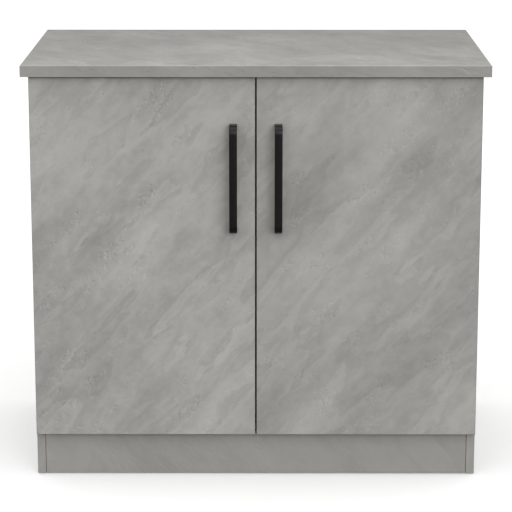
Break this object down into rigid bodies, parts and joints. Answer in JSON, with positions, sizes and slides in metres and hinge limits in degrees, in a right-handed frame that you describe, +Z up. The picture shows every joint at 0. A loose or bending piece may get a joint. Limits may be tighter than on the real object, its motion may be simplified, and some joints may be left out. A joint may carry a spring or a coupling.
{
  "type": "kitchen base cabinet",
  "caption": "Freestanding kitchen base cabinet in grey laminate with an overhanging worktop, paired hinged doors, black bow handles, an inner shelf and a plinth.",
  "frame": {"origin": "on the floor, under the centre of the overall box, handles included", "axes": "+X to the viewer's right when facing the doors, +Y towards the wall behind, +Z up"},
  "size_m": [1, 0.62, 0.92],
  "materials": {
    "grey_board": "satin printed laminate on board",
    "grey_edging": "satin plastic edging",
    "worktop_board": "satin stone-print laminate on board",
    "worktop_edging": "satin plastic edging",
    "back_board": "hardboard, painted on its inner face",
    "raw_wood": "bare beech",
    "strip_plastic": "extruded plastic",
    "black_enamel": "matt black powder coat",
    "plated_steel": "nickel plate",
    "zinc_casting": "raw die casting",
    "glide_plastic": "moulded",
    "clear_buffer": "soft translucent pad"
  },
  "bodies": {
    "carcass": {"left_side_panel": "grey_board", "right_side_panel": "grey_board", "bottom_panel": "grey_board", "front_top_rail": "grey_board", "rear_top_rail": "grey_board", "wall_rail": "grey_board", "shelf": "grey_board", "shelf_edge_band": "grey_edging", "shelf_pins": "plated_steel", "plinth_board": "grey_board", "plinth_blocks": "raw_wood", "rear_plinth_rail": "grey_board", "carcass_edge_bands": "grey_edging", "left_back_panel": "back_board", "right_back_panel": "back_board", "back_joint_strip": "strip_plastic", "back_nails": "plated_steel", "worktop": "worktop_board", "worktop_edge_band": "worktop_edging", "worktop_screws": "plated_steel", "cam_locks": "zinc_casting", "cam_bolts": "plated_steel", "dowels": "raw_wood", "floor_glides": "glide_plastic", "left_hinge_plates": "plated_steel", "left_hinge_arms": "plated_steel", "left_arm_pins": "plated_steel", "left_arm_screws": "plated_steel", "left_plate_screws": "plated_steel", "right_hinge_plates": "plated_steel", "right_hinge_arms": "plated_steel", "right_arm_pins": "plated_steel", "right_arm_screws": "plated_steel", "right_plate_screws": "plated_steel"},
    "left_outer_links": {"left_hinge_outer_links": "plated_steel"},
    "left_door": {"left_door_panel": "grey_board", "left_door_edge_band": "grey_edging", "left_handle": "black_enamel", "left_handle_screws": "plated_steel", "left_door_buffers": "clear_buffer", "left_hinge_cups": "plated_steel", "left_cup_pins": "plated_steel", "left_cup_screws": "plated_steel"},
    "left_inner_links": {"left_hinge_inner_links": "plated_steel"},
    "right_outer_links": {"right_hinge_outer_links": "plated_steel"},
    "right_door": {"right_door_panel": "grey_board", "right_door_edge_band": "grey_edging", "right_handle": "black_enamel", "right_handle_screws": "plated_steel", "right_door_buffers": "clear_buffer", "right_hinge_cups": "plated_steel", "right_cup_pins": "plated_steel", "right_cup_screws": "plated_steel"},
    "right_inner_links": {"right_hinge_inner_links": "plated_steel"}
  },
  "joints": [
    {"name": "left_link_turn", "type": "hinge", "parent": "carcass", "child": "left_outer_links", "pos_m": [-0.449, -0.2541, 0.495], "axis": [0, 0, -1], "range_deg": [-20, 0]},
    {"name": "left_door_swing", "type": "hinge", "parent": "left_outer_links", "child": "left_door", "pos_m": [-0.4736, -0.2651, 0.495], "axis": [0, 0, -1], "range_deg": [0, 120]},
    {"name": "left_inner_link_turn", "type": "hinge", "parent": "left_door", "child": "left_inner_links", "pos_m": [-0.4702, -0.2625, 0.495], "axis": [0, 0, -1], "range_deg": [-142, 0]},
    {"name": "right_link_turn", "type": "hinge", "parent": "carcass", "child": "right_outer_links", "pos_m": [0.449, -0.2541, 0.495], "axis": [0, 0, 1], "range_deg": [-20, 0]},
    {"name": "right_door_swing", "type": "hinge", "parent": "right_outer_links", "child": "right_door", "pos_m": [0.4736, -0.2651, 0.495], "axis": [0, 0, 1], "range_deg": [0, 120]},
    {"name": "right_inner_link_turn", "type": "hinge", "parent": "right_door", "child": "right_inner_links", "pos_m": [0.4702, -0.2625, 0.495], "axis": [0, 0, 1], "range_deg": [-142, 0]}
  ],
  "couplings": [
    {"joint": "left_link_turn", "follows": "left_door_swing", "ratio": -0.16667},
    {"joint": "left_inner_link_turn", "follows": "left_door_swing", "ratio": -1.1833},
    {"joint": "right_link_turn", "follows": "right_door_swing", "ratio": -0.16667},
    {"joint": "right_inner_link_turn", "follows": "right_door_swing", "ratio": -1.1833}
  ]
}
